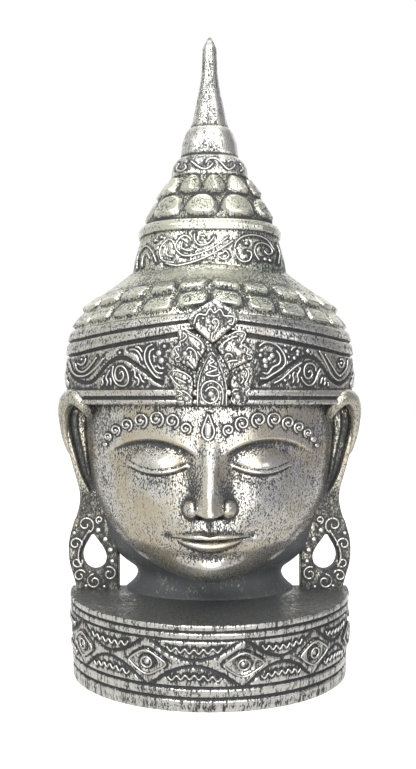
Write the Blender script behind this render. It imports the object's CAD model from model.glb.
import math

import bpy
import numpy as np
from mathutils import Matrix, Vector


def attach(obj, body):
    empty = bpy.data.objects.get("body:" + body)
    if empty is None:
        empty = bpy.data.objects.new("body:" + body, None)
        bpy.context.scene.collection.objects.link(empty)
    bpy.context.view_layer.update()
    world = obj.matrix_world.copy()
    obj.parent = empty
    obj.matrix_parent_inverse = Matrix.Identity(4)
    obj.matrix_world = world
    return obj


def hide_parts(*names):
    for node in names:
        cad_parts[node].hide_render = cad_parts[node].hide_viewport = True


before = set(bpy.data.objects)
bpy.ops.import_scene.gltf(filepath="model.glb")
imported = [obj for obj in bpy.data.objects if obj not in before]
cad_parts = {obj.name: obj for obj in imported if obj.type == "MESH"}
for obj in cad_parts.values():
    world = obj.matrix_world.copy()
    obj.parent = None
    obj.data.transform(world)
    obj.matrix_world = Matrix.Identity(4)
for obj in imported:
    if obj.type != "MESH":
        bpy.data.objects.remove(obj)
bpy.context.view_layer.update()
jitter = np.random.default_rng(11)

# Numbers of the carving are in millimetres; a head's height counts from the top of the base
mm = 0.001
backY = 40.5
baseTop = 51.5
widest = 91.95
backSoot = 0.85


def ramp(value, start, end):
    # 0 before start, 1 after end, and 3t^2 - 2t^3 between
    t = np.clip((value - start) / (end - start), 0, 1)
    return t * t * (3 - 2 * t)


def bump(x, z, centreX, centreZ, radiusX, radiusZ):
    # exp(-(dx / radiusX)^2 - (dz / radiusZ)^2), so 1 at the centre
    return np.exp(-(((x - centreX) / radiusX) ** 2) - ((z - centreZ) / radiusZ) ** 2)


def fade(away, reach, power=2):
    # exp(-(away / reach)^power): 1 on a line, and steeper sided with a higher power
    return np.exp(-((away / reach) ** power))


def unit(arrows):
    # each arrow divided by its own length
    return arrows / np.maximum(np.linalg.norm(arrows, axis=-1, keepdims=True), 1e-12)


def headPoint(x, depth, z):
    # x across, depth forward of the flat back, z up from the base's top
    x, depth, z = np.broadcast_arrays(x, depth, z)
    return np.stack([x, backY - depth, baseTop + z], axis=-1) * mm


def section(halfWidth, depth, angle, squareness=2.0):
    # superellipse: x = a |sin|^(2/n) with the sine's sign, forward = b |cos|^(2/n)
    turn = np.radians(angle)
    power = 2.0 / squareness
    return np.sign(turn) * np.abs(np.sin(turn)) ** power * halfWidth, np.abs(np.cos(turn)) ** power * depth


def evenAngles(shape):
    # angles from edge to edge, one a column, evenly spaced along the piece's typical section
    fine = np.linspace(-90, 90, 20001)
    x, forward = section(*shape["typical"], fine, shape.get("squareness", 2.0))
    length = np.concatenate([[0], np.cumsum(np.hypot(np.diff(x), np.diff(forward)))])
    return np.interp(np.linspace(0, length[-1], shape["columns"]), length, fine)


def crownRise(angle):
    # (1 - |angle| / 60)^1.2, none past 60 degrees
    return np.clip(1 - np.abs(angle) / 60.0, 0, 1) ** 1.2


def blurred(values, reach, axis):
    # weighted mean of neighbours along one axis, weights exp(-k^2 / (2 reach^2))
    size = max(int(3 * reach), 1)
    weights = np.exp(-0.5 * (np.arange(-size, size + 1) / max(reach, 1e-3)) ** 2)
    weights /= weights.sum()
    pad = [(0, 0)] * values.ndim
    pad[axis] = (size, size)
    padded = np.pad(values, pad, mode="reflect", reflect_type="odd")
    count = values.shape[axis]
    return sum(w * np.take(padded, range(k, k + count), axis=axis) for k, w in enumerate(weights))


def fromProfile(profile, z, column):
    # one of the profile's numbers at each height, straight between its rows
    table = np.array(profile, float)
    return np.interp(z, table[:, 0], table[:, column])


def profileRows(profile, spacing, soften):
    # even steps along the profile's own line, then each number blurred with its neighbours
    rows = np.array([(r[0], r[1] if len(r) == 4 else 0.0, r[-2], r[-1]) for r in profile])
    steps = np.hypot(np.diff(rows[:, 0] + 0.5 * rows[:, 1]), np.diff(rows[:, 3]))
    length = np.concatenate([[0], np.cumsum(steps)])
    at = np.linspace(0, length[-1], int(length[-1] / spacing) + 2)
    made = np.stack([np.interp(at, length, rows[:, k]) for k in range(4)], axis=1)
    soft = blurred(made, soften / spacing, 0)
    soft[0], soft[-1] = made[0], made[-1]
    return soft, at


def halfRound(shape, angle):
    # a half section at each of the profile's heights, raised toward the front by its second number
    rows, length = profileRows(shape["profile"], shape["rowStep"], shape["soften"])
    x, forward = section(rows[:, 2:3], rows[:, 3:4], angle[None, :], shape.get("squareness", 2.0))
    z = rows[:, 0:1] + rows[:, 1:2] * crownRise(angle)[None, :]
    return rows, length, x, forward, z


def lengthAround(points):
    # how long each row is, from edge to edge, in millimetres
    return np.linalg.norm(np.diff(points, axis=1), axis=2).sum(axis=1)[:, None] / mm


def normalsOf(points):
    # step to the next column crossed with the step to the next row, made unit length
    return unit(np.cross(np.gradient(points, axis=1), np.gradient(points, axis=0)))


def hollows(points, reachUp, reachAcross):
    # millimetres that each point lies below its blurred shape: over 0 in cuts, under 0 on ridges
    soft = blurred(blurred(points, reachUp, 0), reachAcross, 1)
    return np.sum((soft - points) * normalsOf(points), axis=2) / mm


def lifted(points, height):
    # each point moved out along the surface's normal by its height in millimetres
    return points + normalsOf(points) * (height * mm)[:, :, None]


def lengthAlong(points):
    # distance from the first point to each, summed over the steps between them
    return np.concatenate([[0], np.cumsum(np.linalg.norm(np.diff(points, axis=0), axis=1))])


def smoothLine(points, spacing=0.7):
    # Catmull-Rom: each span is the cubic whose end slopes are half of its neighbours' chords
    p = np.array(points, float)
    p = np.vstack([2 * p[0] - p[1], p, 2 * p[-1] - p[-2]])
    t = np.linspace(0, 1, 10, endpoint=False)[:, None]
    spans = [
        b + 0.5 * t * (c - a + t * (2 * a - 5 * b + 4 * c - d + t * (3 * (b - c) + d - a)))
        for a, b, c, d in zip(p, p[1:], p[2:], p[3:])
    ]
    line = np.vstack(spans + [p[-2:-1]])
    length = lengthAlong(line)
    at = np.linspace(0, length[-1], max(int(length[-1] / spacing), 3) + 1)
    return np.stack([np.interp(at, length, line[:, 0]), np.interp(at, length, line[:, 1])], axis=1)


def spiral(x, z, outer, inner, turns, start):
    # the radius falls evenly from outer to inner while the angle makes its turns
    t = np.linspace(0, 1, int(abs(turns) * 12) + 3)
    a = np.radians(start) + 2 * math.pi * turns * t
    radius = outer + (inner - outer) * t
    return [(x + r * math.cos(b), z + r * math.sin(b)) for r, b in zip(radius, a)]


def bead(x, z, radius):
    # a line as long as it is wide, which the pipe's rounded ends turn into a ball
    return [(x - radius, z), (x, z), (x + radius, z)]


def mirrored(lines):
    # each line with its x turned to -x
    return [[(-x, z) for x, z in line] for line in lines]


def sideName(side):
    # side is 1 on the viewer's right and -1 on the left
    return "Right" if side > 0 else "Left"


def nearest(u, w, lines):
    # distance from each (u, w) to the closest point of any of the lines
    marks = np.vstack([smoothLine(line, 0.4) for line in lines]).astype(np.float32)
    flatU, flatW = u.ravel().astype(np.float32), w.ravel().astype(np.float32)
    found = np.empty(len(flatU), np.float32)
    for start in range(0, len(flatU), 4000):
        du = flatU[start:start + 4000, None] - marks[None, :, 0]
        dw = flatW[start:start + 4000, None] - marks[None, :, 1]
        found[start:start + 4000] = np.sqrt((du * du + dw * dw).min(axis=1))
    return found.reshape(u.shape).astype(float)


def insideOf(u, w, outline):
    # signed distance to a closed outline, over 0 inside: an odd count of crossings is inside
    loop = smoothLine(list(outline) + [outline[0]], 0.5)
    away = nearest(u, w, [loop])
    inside = np.zeros(u.shape, bool)
    for (x0, z0), (x1, z1) in zip(loop, loop[1:]):
        if z0 != z1:
            crossing = x0 + (w - z0) * (x1 - x0) / (z1 - z0)
            inside ^= (w > min(z0, z1)) & (w <= max(z0, z1)) & (u < crossing)
    return np.where(inside, away, -away)


def makeMesh(name, points, faceSets, soot):
    # faceSets holds (faces, smooth, material) sets, each faces an array with a row of corners a face
    mesh = bpy.data.meshes.new(name)
    mesh.vertices.add(len(points))
    mesh.vertices.foreach_set("co", np.ascontiguousarray(points, np.float32).ravel())
    sizes = np.concatenate([np.full(len(f), f.shape[1]) for f, _, _ in faceSets])
    corners = np.concatenate([f.ravel() for f, _, _ in faceSets]).astype(np.int32)
    mesh.loops.add(len(corners))
    mesh.loops.foreach_set("vertex_index", corners)
    mesh.polygons.add(len(sizes))
    starts = np.concatenate([[0], np.cumsum(sizes)[:-1]]).astype(np.int32)
    mesh.polygons.foreach_set("loop_start", starts)
    mesh.polygons.foreach_set("use_smooth", np.concatenate([np.full(len(f), s) for f, s, _ in faceSets]))
    mesh.polygons.foreach_set(
        "material_index", np.concatenate([np.full(len(f), m, np.int32) for f, _, m in faceSets])
    )
    mesh.update(calc_edges=True)
    mesh.attributes.new("soot", "FLOAT", "POINT").data.foreach_set("value", soot.ravel().astype(np.float32))
    obj = bpy.data.objects.new(name, mesh)
    bpy.context.scene.collection.objects.link(obj)
    return obj


def gridFaces(rows, columns, aroundRows=False, aroundColumns=False):
    # one quad between each row and column and the next; around joins the last to the first
    i, j = np.meshgrid(
        np.arange(rows if aroundRows else rows - 1),
        np.arange(columns if aroundColumns else columns - 1),
        indexing="ij",
    )
    i, j = i.ravel(), j.ravel()
    nextI, nextJ = (i + 1) % rows, (j + 1) % columns
    here, above = i * columns, nextI * columns
    return np.stack([here + j, here + nextJ, above + nextJ, above + j], axis=1)


def closedFront(name, points, soot, backInset):
    # the front's grid, a flat strip across its back and a cap at each end; the edges' soot is the back's
    rows, columns = points.shape[:2]
    points = points.copy()
    behind = (backY - backInset) * mm
    points[:, [0, -1], 1] = behind
    points[:, :, 1] = np.minimum(points[:, :, 1], behind)
    soot = soot.copy()
    soot[:, [0, -1]] = backSoot
    row = np.arange(rows - 1) * columns
    last = columns - 1
    back = np.stack([row + last, row, row + columns, row + columns + last], axis=1)
    bottom = np.arange(columns)[::-1][None, :]
    top = (np.arange(columns) + (rows - 1) * columns)[None, :]
    sets = [(gridFaces(rows, columns), True, 0), (back, False, 1), (bottom, False, 1), (top, False, 0)]
    return makeMesh(name, points.reshape(-1, 3), sets, soot)


def placer(surface, step=0.4):
    # a place on a surface of two numbers, and its normal from the surface's two slopes
    def place(u, w):
        # right x up, the two slopes taken half on each side of the place
        right = surface(u + step, w) - surface(u - step, w)
        up = surface(u, w + step) - surface(u, w - step)
        return surface(u, w), unit(np.cross(right, up))

    return place


def pipes(name, lines, surface, width, height, sides=8):
    # a half-sunk bead along each line: centre + taper (cos width / 2 across + sin height outwards)
    place = placer(surface)
    turn = np.linspace(0, 2 * math.pi, sides, endpoint=False)
    allPoints, allFaces, allCaps, allSoot = [], [], [], []
    start = 0
    for line in lines:
        path = smoothLine(line, 0.2)
        length = lengthAlong(path)
        total = length[-1]
        isBead = len(line) == 3 and line[0][1] == line[1][1] == line[2][1]
        radius = total / 2 if isBead else width / 2
        ends = min(radius, total / 2) * np.array([0.03, 0.22, 0.55])
        inner = np.linspace(radius, total - radius, max(int((total - 2 * radius) / 0.75) + 1, 1))
        at = np.concatenate([ends, inner, total - ends[::-1]])
        spots, normals = place(np.interp(at, length, path[:, 0]), np.interp(at, length, path[:, 1]))
        across = unit(np.cross(unit(np.gradient(spots, axis=0)), normals))
        edge = np.clip(np.minimum(at, total - at) / min(radius, total / 2), 0, 1)
        taper = np.sqrt(1 - (1 - edge) ** 2)[:, None, None]
        ring = across[:, None] * (np.cos(turn) * radius)[None, :, None]
        ring = ring + normals[:, None] * (np.sin(turn) * max(height, 0.7 * radius))[None, :, None]
        count = len(at)
        points = (spots[:, None] + ring * taper * mm).reshape(-1, 3)
        points[:, 1] = np.minimum(points[:, 1], (backY - 0.2) * mm)
        allPoints.append(points)
        allFaces.append(gridFaces(count, sides, aroundColumns=True)[:, [0, 3, 2, 1]] + start)
        foot, tip = np.arange(sides) + start, np.arange(sides) + start + (count - 1) * sides
        allCaps += [foot[None, :], tip[::-1][None, :]]
        allSoot.append(np.tile(0.95 - 0.93 * np.clip(np.sin(turn), 0, 1) ** 0.6, count))
        start += count * sides
    sets = [(np.vstack(allFaces), True, 0), (np.vstack(allCaps), True, 0)]
    return makeMesh(name, np.vstack(allPoints), sets, np.concatenate(allSoot))


def addNode(tree, kind, settings=None, values=None):
    # a node with its settings; each value is typed in, or linked when it is another node's socket
    made = tree.nodes.new(kind)
    for key, value in (settings or {}).items():
        setattr(made, key, value)
    for key, value in (values or {}).items():
        if isinstance(value, bpy.types.NodeSocket):
            tree.links.new(value, made.inputs[key])
        else:
            made.inputs[key].default_value = value
    return made


def calculate(tree, operation, *terms):
    # one sum of two or three terms, MULTIPLY_ADD being first * second + third
    return addNode(tree, "ShaderNodeMath", {"operation": operation}, dict(enumerate(terms))).outputs[0]


def mixColours(tree, share, first, second):
    # first + share (second - first)
    return addNode(tree, "ShaderNodeMix", {"data_type": "RGBA"}, {0: share, 6: first, 7: second}).outputs[2]


def noise(tree, vector, scale, detail=2.0, roughness=0.55):
    # cloudy noise from 0 to 1 with its middle near 0.5, about scale cells to the metre
    values = {"Vector": vector, "Scale": scale, "Detail": detail, "Roughness": roughness}
    return addNode(tree, "ShaderNodeTexNoise", None, values).outputs[0]


def stretched(tree, vector, upright):
    # the pattern's places squeezed along z, so that its marks stand upright
    values = {"Vector": vector, "Scale": (1.0, 1.0, upright)}
    return addNode(tree, "ShaderNodeMapping", None, values).outputs[0]


def between(tree, value, low, high, start=0.0, end=1.0):
    # value from low to high becomes start to end, held at both
    values = {0: value, 1: low, 2: high, 3: start, 4: end}
    return addNode(tree, "ShaderNodeMapRange", {"clamp": True}, values).outputs[0]


antiqueInputs = {
    "Soot": ("NodeSocketFloat", 0.5),
    "Cover": ("NodeSocketFloat", 1.0),
    "Grain": ("NodeSocketFloat", 0.5),
    "Speckle": ("NodeSocketFloat", 0.4),
    "Warm": ("NodeSocketFloat", 0.3),
    "Patches": ("NodeSocketFloat", 0.3),
    "Silver": ("NodeSocketColor", (0.74, 0.735, 0.715, 1)),
    "Tint": ("NodeSocketColor", (0.2, 0.2, 0.185, 1)),
    "Tan": ("NodeSocketColor", (0.56, 0.49, 0.37, 1)),
    "Black": ("NodeSocketColor", (0.034, 0.035, 0.038, 1)),
}


def antiqueGroup():
    # silver paint left on the high places, black in the cuts, streaked up and down with the grain
    tree = bpy.data.node_groups.new("antiquedSilver", "ShaderNodeTree")
    for name, (kind, value) in antiqueInputs.items():
        tree.interface.new_socket(name, in_out="INPUT", socket_type=kind).default_value = value
    for name in ("Base Color", "Roughness", "Metallic", "Bump Height"):
        kind = "NodeSocketColor" if name == "Base Color" else "NodeSocketFloat"
        tree.interface.new_socket(name, in_out="OUTPUT", socket_type=kind)
    given = tree.nodes.new("NodeGroupInput").outputs
    result = tree.nodes.new("NodeGroupOutput").inputs
    place = addNode(tree, "ShaderNodeTexCoord").outputs["Object"]
    upright = stretched(tree, place, 0.12)
    fibre = noise(tree, upright, 1100.0, 3.0, 0.7)
    streak = noise(tree, upright, 330.0, 2.0)
    fleck = noise(tree, stretched(tree, place, 0.55), 1300.0, 2.0, 0.7)
    patch = noise(tree, place, 38.0, 3.0, 0.6)
    fine = between(tree, fibre, 0.38, 0.62, -0.55, 0.45)
    broad = between(tree, streak, 0.34, 0.66, -0.35, 0.35)
    grain = calculate(tree, "ADD", fine, broad)
    clean = calculate(tree, "MULTIPLY_ADD", given["Soot"], -2.0, 1.0)
    level = calculate(tree, "ADD", clean, given["Cover"])
    level = calculate(tree, "MULTIPLY_ADD", grain, given["Grain"], level)
    patches = between(tree, patch, 0.32, 0.68, -1.0, 1.0)
    level = calculate(tree, "MULTIPLY_ADD", patches, given["Patches"], level)
    specks = calculate(tree, "MULTIPLY", between(tree, fleck, 0.43, 0.6, -0.12, 1.0), given["Speckle"])
    level = calculate(tree, "SUBTRACT", level, specks)
    warmed = calculate(tree, "MULTIPLY", between(tree, patch, 0.4, 0.62), given["Warm"])
    bright = mixColours(tree, warmed, given["Silver"], given["Tan"])
    low = mixColours(tree, between(tree, level, 0.0, 0.5), given["Black"], given["Tint"])
    colour = mixColours(tree, between(tree, level, 0.4, 1.0), low, bright)
    tree.links.new(colour, result["Base Color"])
    tree.links.new(between(tree, level, 0.0, 1.0, 0.58, 0.21), result["Roughness"])
    tree.links.new(between(tree, level, 0.1, 0.65, 0.2, 0.95), result["Metallic"])
    relief = calculate(tree, "MULTIPLY_ADD", fibre, 0.4, between(tree, level, 0.0, 0.8, 0.0, 0.6))
    tree.links.new(relief, result["Bump Height"])
    return tree


def paint(name, looks):
    # the antiqued group at this paint's own values; its soot is painted on each mesh
    material = bpy.data.materials.new(name)
    material.use_nodes = True
    tree = material.node_tree
    shader = tree.nodes["Principled BSDF"]
    antique = addNode(tree, "ShaderNodeGroup", {"node_tree": antiquedSilver}, looks)
    soot = addNode(tree, "ShaderNodeAttribute", {"attribute_type": "GEOMETRY", "attribute_name": "soot"})
    tree.links.new(soot.outputs["Fac"], antique.inputs["Soot"])
    for socket in ("Base Color", "Roughness", "Metallic"):
        tree.links.new(antique.outputs[socket], shader.inputs[socket])
    values = {"Strength": 0.5, "Distance": 0.25 * mm, "Height": antique.outputs["Bump Height"]}
    tree.links.new(addNode(tree, "ShaderNodeBump", None, values).outputs[0], shader.inputs["Normal"])
    return material


paints = {
    "silver_on_wood": {"Cover": 0.84, "Grain": 0.7, "Speckle": 1.2, "Warm": 0.5},
    "silver_on_face": {
        "Cover": 1.28, "Grain": 0.62, "Speckle": 1.3, "Warm": 0.95,
        "Silver": (0.8, 0.795, 0.78, 1), "Tan": (0.64, 0.57, 0.44, 1),
    },
    "silver_on_hair": {
        "Cover": 1.13, "Grain": 0.5, "Speckle": 1.2, "Warm": 0.3, "Patches": 0.5,
        "Silver": (0.74, 0.75, 0.67, 1), "Tint": (0.2, 0.21, 0.17, 1),
    },
    "silver_on_ears": {
        "Cover": 1.06, "Grain": 0.3, "Speckle": 0.9, "Warm": 0.7,
        "Silver": (0.7, 0.68, 0.6, 1), "Tint": (0.2, 0.2, 0.17, 1),
    },
    "silver_on_spire": {"Cover": 0.84, "Grain": 0.5, "Speckle": 0.62, "Warm": 0.2},
    "silver_on_base": {"Cover": 0.81, "Grain": 1.8, "Speckle": 0.7, "Warm": 0.0},
    "silver_on_piping": {"Cover": 0.95, "Grain": 0.3, "Speckle": 0.5, "Warm": 0.1},
    "black_wash": {
        "Cover": 0.85, "Grain": 1.6, "Speckle": 0.9, "Patches": 0.5, "Silver": (0.42, 0.42, 0.38, 1),
        "Tint": (0.18, 0.185, 0.17, 1), "Black": (0.078, 0.081, 0.087, 1),
    },
    "black_back": {
        "Cover": 0.1, "Grain": 0.5, "Speckle": 0.2, "Silver": (0.1, 0.095, 0.09, 1),
        "Tint": (0.045, 0.04, 0.035, 1),
    },
}
antiquedSilver = antiqueGroup()
materials = {name: paint(name, looks) for name, looks in paints.items()}


def finishPiece(obj, *finishes):
    # a finish for the front, then the black back, then any other
    for finish in (finishes[0], "black_back", *finishes[1:]):
        obj.data.materials.append(materials[finish])
    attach(obj, "root")
    print(obj.name, len(obj.data.polygons))
    return obj


print("face")
face = {
    "third": 39.5, "chin": 14.5, "eyeWidth": 29.0, "columns": 330, "rowStep": 0.53, "soften": 1.2,
    # height, half width and depth
    "profile": (
        (14.0, 19.0, 46.0), (15.2, 25.0, 51.0), (17.5, 32.0, 53.5), (21.0, 40.5, 55.5), (25.0, 47.0, 57.0),
        (30.0, 53.5, 58.5), (34.0, 57.5, 59.3), (37.4, 60.2, 60.0), (40.8, 62.5, 60.5), (44.8, 65.0, 61.1),
        (49.0, 67.3, 61.5), (53.0, 69.2, 61.9), (60.0, 71.8, 62.5), (65.0, 73.2, 62.8), (71.0, 74.4, 63.1),
        (77.0, 75.5, 63.5), (83.0, 76.4, 63.9), (90.0, 77.2, 64.6), (97.0, 77.8, 65.0), (109.0, 78.2, 64.8),
        (119.0, 78.4, 64.2),
    ),
}
noseBase = face["chin"] + face["third"]
brow = noseBase + face["third"]
eyeZ = brow - 0.32 * face["third"]
mouthZ = noseBase - face["third"] / 3
eyeX = face["eyeWidth"]
mouthHalf = 0.76 * face["eyeWidth"]


curls = {
    "left": (
        (-60.7, 92.3, 1.5, 0), (-58.6, 96.9, 2.4, 1), (-53.6, 100.9, 3.1, 1), (-46.8, 104.2, 3.7, 1),
        (-38.6, 106.7, 4.3, 1), (-29.5, 107.7, 4.5, 1), (-20.7, 106.6, 4.1, 1), (-13.2, 102.6, 3.3, 1),
    ),
    "right": (
        (10.2, 101.6, 3.3, 1), (17.8, 105.2, 4.3, 1), (26.9, 107.2, 4.5, 1), (35.9, 107.3, 4.4, 1),
        (43.9, 105.4, 3.9, 1), (50.5, 102.7, 3.3, 1), (56.0, 99.3, 2.7, 1), (60.0, 95.4, 2.0, 0),
        (62.6, 91.7, 1.5, 0),
    ),
    "urnaDrop": [(-0.9, 106.0), (-0.9, 101.6), (-0.9, 97.8)],
    "urna": [(-0.9, 110.6), (-2.8, 105.6), (-4.2, 101.0), (-3.2, 97.6), (-0.9, 96.2), (1.4, 97.6),
             (2.4, 101.0), (1.0, 105.6), (-0.9, 110.6)],
}
curlLines = [curls["urna"]]
for x, z, radius, coiled in curls["left"] + curls["right"]:
    turns = 1.25 if x < 0 else -1.25
    if coiled:
        curlLines.append(spiral(x, z, radius, 0.38 * radius, turns, 285 if x < 0 else 255))
        curlLines.append(bead(x, z, 0.28 * radius))
    else:
        curlLines.append(bead(x, z, radius))


def browHeight(x):
    # each brow is a parabola from beside the nose to the temple
    share = (np.abs(x) - 5.0) / 55.0
    return brow - 6.0 + 9.0 * (1 - (2 * share - 1.05) ** 2)


def lidEdge(x):
    # the lowered lid's edge hangs as a parabola between the eye's corners
    return eyeZ - 3.6 * np.maximum(1 - ((np.abs(x) - eyeX) / (0.56 * face["eyeWidth"])) ** 2, 0)


def mouthLine(x):
    # the closed line rises as a parabola to its corners
    return mouthZ + 1.6 * np.minimum(np.abs(x) / mouthHalf, 1.2) ** 2


def eyeRelief(x, z):
    # hollow under the brow, the closed lid's smooth swelling, lower under its edge, and its rim
    side = np.abs(x)
    below = browHeight(x) - z
    across = ramp(side, 6, 16) * (1 - ramp(side, 42, 62))
    socket = 3.6 * ramp(below, -0.6, 2.2) * (1 - ramp(below, 3, 26)) * across
    edge = z - lidEdge(x)
    tall = 11.5 - 1.5 * (1 - ramp(z, eyeZ - 1, eyeZ + 2))
    fromBall = ((side - eyeX) / 19.0) ** 2 + ((z - eyeZ - 0.5) / tall) ** 2
    swelling = 5.6 * np.maximum(1 - fromBall, 0) ** 1.5 * (0.42 + 0.58 * ramp(edge, -1.2, 0.2))
    alongLid = 1 - ramp(np.abs(side - eyeX), 13.0, 18.5)
    rim = 0.8 * fade(edge - 0.9, 0.9, 4)
    slit = 0.9 * fade(edge + 0.6, 0.6)
    crease = 0.5 * fade(edge - 2.6, 0.6)
    return swelling - socket + (rim - slit - crease) * alongLid


def noseRelief(x, z):
    # straight ridge widening to a round tip, a ball each side for the wing and a hollow nostril under it
    side = np.abs(x)
    down = np.clip((brow - 3 - z) / (face["third"] - 5), 0, 1)
    height = 1.4 + 12.6 * down ** 1.2
    foot = noseBase - 1.4 + 0.02 * x ** 2
    overFoot = ramp(z, foot, foot + 3.4)
    ridge = height * fade(side, 4.6 + 4.4 * down ** 2, 2.3) * overFoot * (1 - ramp(z, brow - 2, brow + 12))
    tip = 1.5 * bump(x, z, 0, noseBase + 4.8, 6.2, 5.4) * overFoot
    wing = 5.6 * np.maximum(1 - ((side - 9.8) / 5.2) ** 2 - ((z - noseBase - 4.4) / 5.4) ** 2, 0) ** 0.6
    crease = 0.8 * fade(side - 7.4 - 0.08 * (z - noseBase), 0.8) * bump(0, z, 0, noseBase + 5.6, 1, 3.4)
    under = 3.4 * bump(side, z, 5.6, noseBase + 0.2, 2.4, 1.2)
    return np.maximum(ridge + tip, wing) - under - crease


def mouthRelief(x, z):
    # each lip is sin(pi t)^0.7 from the closed line to its own edge, on a low swelling above the chin
    side = np.abs(x)
    line = mouthLine(x)
    upperShare = np.clip(1 - (side / mouthHalf) ** 1.7, 0, 1)
    lowerShare = np.clip(1 - (side / (0.84 * mouthHalf)) ** 2, 0, 1)
    upperTall = 0.3 + 4.4 * upperShare - 1.1 * bump(x, 0, 0, 0, 2.6, 1) * (upperShare > 0)
    lowerTall = 0.3 + 6.0 * lowerShare ** 0.75
    upper = 3.0 * np.sin(math.pi * np.clip((z - line) / upperTall, 0, 1)) ** 0.7 * upperShare ** 0.5
    lower = 3.8 * np.sin(math.pi * np.clip((line - z) / lowerTall, 0, 1)) ** 0.7 * lowerShare ** 0.5
    slit = 1.6 * fade(z - line, 0.7) * upperShare ** 0.3
    corner = 1.5 * bump(side, z, mouthHalf + 1.0, line + 0.3, 3.0, 2.6)
    swelling = 3.0 * bump(x, z, 0, mouthZ + 2, 26, 15)
    chin = 4.0 * bump(x, z, 0, face["chin"] + 9.0, 15, 9)
    fold = 1.6 * bump(x, z, 0, mouthZ - 10, 16, 3.0)
    groove = 0.9 * bump(x, z, 0, mouthZ + 8.4, 1.9, 3.6)
    return swelling + upper + lower + chin - slit - corner - fold - groove


def faceRelief(x, z):
    # the features added together, with a low swelling for each cheek
    cheek = 1.8 * bump(np.abs(x), z, 36, mouthZ + 15, 16, 15)
    return eyeRelief(x, z) + noseRelief(x, z) + mouthRelief(x, z) + cheek


def faceSurface(x, z):
    # half-ellipse at each height, x / a = sin and forward = b cos, with the relief added forward
    halfWidth, depth = fromProfile(face["profile"], z, 1), fromProfile(face["profile"], z, 2)
    forward = depth * np.sqrt(np.clip(1 - (x / halfWidth) ** 2, 0, 1))
    return headPoint(x, forward + faceRelief(x, z), z)


def buildFace():
    # its columns stand closer together toward the middle: angle = 90 (0.6 u + 0.4 u^3)
    u = np.linspace(-1, 1, face["columns"])
    _, _, x, forward, z = halfRound(face, 90 * (0.6 * u + 0.4 * u ** 3))
    points = headPoint(x, forward + faceRelief(x, z), z)
    soot = 0.46 + 0.36 * np.clip(hollows(points, 2, 2) / 0.16, -0.5, 1.5)
    soot += 0.2 * np.clip(hollows(points, 8, 8) / 1.0, -0.7, 1.2)
    # more of it under the eyes, beside the nose, under the crown, at the sides and under the chin
    side = np.abs(x)
    soot += 0.1 * bump(side, z, 28, eyeZ - 8, 18, 6) + 0.2 * bump(side, z, 11.0, eyeZ - 10, 3.4, 15)
    soot += 0.4 * ramp(z, 111, 115) + 0.32 * ramp(side, 46, 74) + 0.3 * (1 - ramp(z, 14, 24))
    piped = nearest(x, z, curlLines)
    soot += 0.75 * fade(piped, 1.3, 4) + 0.2 * fade(piped, 3.0)
    return closedFront("face", points, soot, 0.3)


finishPiece(buildFace(), "silver_on_face")

print("neck")
neck = {
    "columns": 120, "rowStep": 1.2, "soften": 1.5,
    "profile": (
        (-6.0, 55.0, 36.0), (0.0, 53.5, 34.5), (2.5, 50.0, 31.5), (6.0, 46.5, 29.5), (10.0, 45.2, 28.5),
        (14.0, 47.0, 29.5), (17.0, 52.0, 31.5), (21.0, 57.0, 33.5), (27.0, 62.0, 36.0), (48.0, 68.5, 39.6),
        (80.0, 71.0, 41.0),
    ),
}


def buildNeck():
    # half-ellipses with no relief, black all over
    _, _, x, forward, z = halfRound(neck, np.linspace(-90, 90, neck["columns"]))
    return closedFront("neck", headPoint(x, forward, z), np.full(x.shape, 1.02), 0.45)


finishPiece(buildNeck(), "black_wash")

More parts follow.
